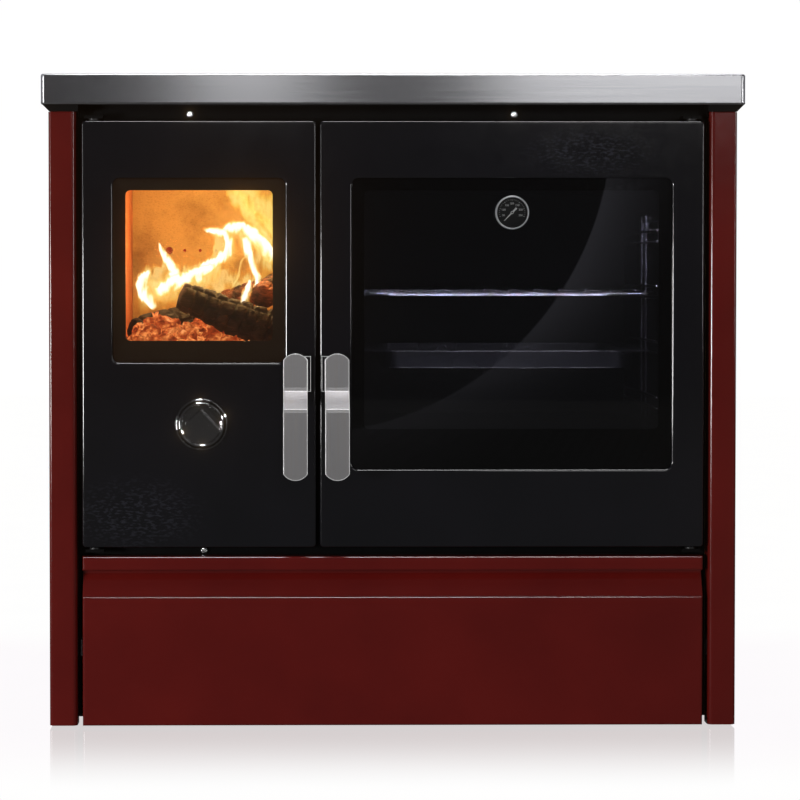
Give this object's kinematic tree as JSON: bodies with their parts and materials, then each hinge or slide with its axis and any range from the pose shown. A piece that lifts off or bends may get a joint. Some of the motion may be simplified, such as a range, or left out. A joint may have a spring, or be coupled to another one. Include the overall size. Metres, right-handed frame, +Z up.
{
  "type": "wood-burning cook stove",
  "caption": "Freestanding wood-burning cook stove with glazed fire and oven doors, cranked lever handles, a stainless hob frame and a wood drawer.",
  "frame": {"origin": "on the floor under the middle of the hob frame's footprint box, flue spigot and handles included", "axes": "X to the right seen from the front, Y to the back, Z up; the doors face -Y"},
  "size_m": [0.912, 0.68, 0.85],
  "materials": {
    "dark_steel": "matt heat-proof paint",
    "black_paint": "satin black heat-proof paint",
    "red_enamel": "glossy vitreous enamel",
    "black_enamel": "glossy vitreous enamel",
    "oven_enamel": "speckled satin enamel",
    "brushed_stainless": "brushed lengthwise",
    "chromed_wire": "bright",
    "zinc_steel": "zinc plated",
    "cast_iron": "blackened, as cast",
    "firebrick": "dry, sooty",
    "ceramic_glass": "clear",
    "oven_glass": "clear, lightly tinted",
    "rope_seal": "knitted glass fibre",
    "insulation_board": "mineral wool",
    "white_paint": "matt"
  },
  "bodies": {
    "stove_body": {"levelling_feet": "dark_steel", "base_plate": "dark_steel", "carcass_sides": "black_paint", "front_frame": "black_paint", "drawer_ceiling": "dark_steel", "rear_panel": "dark_steel", "left_side_panel": "red_enamel", "right_side_panel": "red_enamel", "side_insulation": "insulation_board", "under_top_frame": "black_paint", "hob_frame": "brushed_stainless", "plate_bearer": "dark_steel", "cooking_plate": "cast_iron", "firebox_casing": "dark_steel", "left_firebrick": "firebrick", "right_firebrick": "firebrick", "back_firebrick": "firebrick", "hearth_slab": "firebrick", "fire_grate": "cast_iron", "log_guard": "cast_iron", "oven_liner": "oven_enamel", "oven_ladders": "chromed_wire", "smoke_duct": "dark_steel", "soot_hatch": "cast_iron", "flue_spigot": "black_paint", "drawer_runners": "zinc_steel", "hinge_brackets": "black_paint", "hinge_pins": "zinc_steel", "latch_studs": "zinc_steel", "body_bolts": "zinc_steel"},
    "fire_door": {"fire_door_panel": "black_enamel", "fire_door_glass": "ceramic_glass", "fire_glass_border": "black_paint", "fire_door_liner": "dark_steel", "fire_door_seal": "rope_seal", "fire_hinge_bushes": "zinc_steel", "air_rosette": "black_enamel"},
    "air_control": {"air_knob": "black_enamel", "air_shutter": "zinc_steel"},
    "fire_lever": {"fire_handle": "brushed_stainless", "fire_latch_arm": "zinc_steel"},
    "oven_door": {"oven_door_panel": "black_enamel", "oven_door_glass": "oven_glass", "oven_glass_border": "black_paint", "oven_door_liner": "dark_steel", "oven_inner_glass": "oven_glass", "oven_door_seal": "rope_seal", "oven_hinge_bushes": "zinc_steel", "thermometer_case": "brushed_stainless", "thermometer_lens": "oven_glass"},
    "needle": {"thermometer_needle": "white_paint"},
    "oven_lever": {"oven_handle": "brushed_stainless", "oven_latch_arm": "zinc_steel"},
    "ring": {"hob_ring": "cast_iron"},
    "lid": {"hob_lid": "cast_iron"},
    "wood_drawer": {"wood_drawer_front": "red_enamel", "wood_drawer_box": "dark_steel"},
    "ash_drawer": {"ash_pan": "zinc_steel"},
    "shelf": {"wire_shelf": "chromed_wire"},
    "tray": {"baking_tray": "oven_enamel"}
  },
  "joints": [
    {"name": "fire_door_hinge", "type": "hinge", "parent": "stove_body", "child": "fire_door", "pos_m": [-0.388, -0.284, 0.513], "axis": [0, 0, -1], "range_deg": [0, 110]},
    {"name": "oven_door_hinge", "type": "hinge", "parent": "stove_body", "child": "oven_door", "pos_m": [0.388, -0.284, 0.513], "axis": [0, 0, 1], "range_deg": [0, 110]},
    {"name": "fire_handle_turn", "type": "hinge", "parent": "fire_door", "child": "fire_lever", "pos_m": [-0.127, -0.292, 0.47], "axis": [0, 1, 0], "range_deg": [-3, 70]},
    {"name": "oven_handle_turn", "type": "hinge", "parent": "oven_door", "child": "oven_lever", "pos_m": [-0.073, -0.292, 0.47], "axis": [0, -1, 0], "range_deg": [-3, 70]},
    {"name": "air_control_turn", "type": "hinge", "parent": "fire_door", "child": "air_control", "pos_m": [-0.249, -0.292, 0.396], "axis": [0, 1, 0], "range_deg": [0, 45]},
    {"name": "thermometer_needle_turn", "type": "hinge", "parent": "oven_door", "child": "needle", "pos_m": [0.15425, -0.29, 0.671], "axis": [0, 1, 0], "range_deg": [0, 225]},
    {"name": "wood_drawer_slide", "type": "slide", "parent": "stove_body", "child": "wood_drawer", "axis": [0, -1, 0], "range_m": [0, 0.4]},
    {"name": "ash_pan_slide", "type": "slide", "parent": "stove_body", "child": "ash_drawer", "axis": [0, -1, 0], "range_m": [0, 0.06]},
    {"name": "wire_shelf_slide", "type": "slide", "parent": "stove_body", "child": "shelf", "axis": [0, -1, 0], "range_m": [0, 0.028]},
    {"name": "baking_tray_slide", "type": "slide", "parent": "stove_body", "child": "tray", "axis": [0, -1, 0], "range_m": [0, 0.028]},
    {"name": "hob_ring_lift", "type": "slide", "parent": "stove_body", "child": "ring", "axis": [0, 0, 1], "range_m": [0, 0.06]},
    {"name": "hob_lid_lift", "type": "slide", "parent": "ring", "child": "lid", "axis": [0, 0, 1], "range_m": [0, 0.06]}
  ]
}
